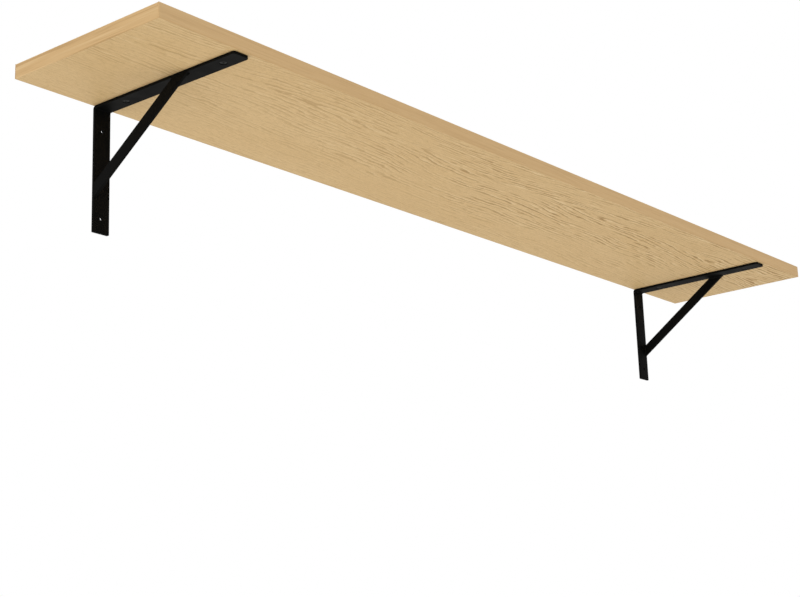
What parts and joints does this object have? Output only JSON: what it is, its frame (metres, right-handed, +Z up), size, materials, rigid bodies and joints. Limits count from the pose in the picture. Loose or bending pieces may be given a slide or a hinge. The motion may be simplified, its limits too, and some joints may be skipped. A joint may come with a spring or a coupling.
{
  "type": "wall shelf with brackets",
  "caption": "Long shallow wall shelf: a wood-effect laminated board on two black flat-bar L brackets, each with a diagonal brace and holes for wall screws.",
  "frame": {"origin": "centre of the rectangle of four wall-screw holes, on the wall plane, half-way along the shelf", "axes": "+X along the shelf's length, to the right as seen from the front; +Y towards the wall, so the shelf stands out towards -Y; +Z up"},
  "size_m": [1.2, 0.2, 0.145],
  "materials": {
    "particle_board": "raw pressed wood particles, hidden under the laminate and the edge bands",
    "oak_laminate": "matt light-oak decor laminate with fine grain along the length",
    "oak_edge_band": "matt light-oak edge banding, grain along the edge",
    "bracket_steel": "matt black powder coat on mild steel flat bar",
    "screw_steel": "black phosphated and oiled steel"
  },
  "bodies": {
    "root": {"board_core": "particle_board", "top_laminate": "oak_laminate", "bottom_laminate": "oak_laminate", "front_edge_band": "oak_edge_band", "rear_edge_band": "oak_edge_band", "left_edge_band": "oak_edge_band", "right_edge_band": "oak_edge_band", "left_strap": "bracket_steel", "left_brace": "bracket_steel", "left_lower_weld": "bracket_steel", "left_upper_weld": "bracket_steel", "left_rear_screw": "screw_steel", "left_front_screw": "screw_steel", "right_strap": "bracket_steel", "right_brace": "bracket_steel", "right_lower_weld": "bracket_steel", "right_upper_weld": "bracket_steel", "right_rear_screw": "screw_steel", "right_front_screw": "screw_steel"}
  },
  "joints": []
}
